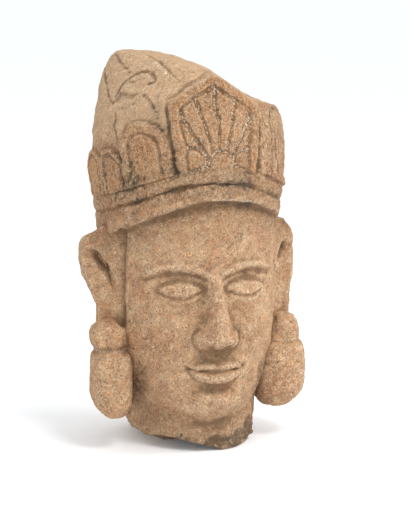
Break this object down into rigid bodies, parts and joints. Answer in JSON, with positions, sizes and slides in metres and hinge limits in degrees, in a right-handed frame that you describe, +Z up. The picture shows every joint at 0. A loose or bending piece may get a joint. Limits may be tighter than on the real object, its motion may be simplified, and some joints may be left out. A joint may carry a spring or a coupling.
{
  "type": "carved sandstone head",
  "caption": "Life-worn carved sandstone head with a tall petalled crown, long ears and heavy ear drops, broken off at the neck and standing on the break.",
  "frame": {"origin": "on the flat underside of the neck break, on the axis of the crown", "axes": "+Z up along the head, -Y out of the face, +X towards the figure's left ear"},
  "size_m": [0.153, 0.132, 0.261],
  "materials": {
    "sandstone": "matte"
  },
  "bodies": {
    "root": {"sandstone_head": "sandstone"}
  },
  "joints": []
}
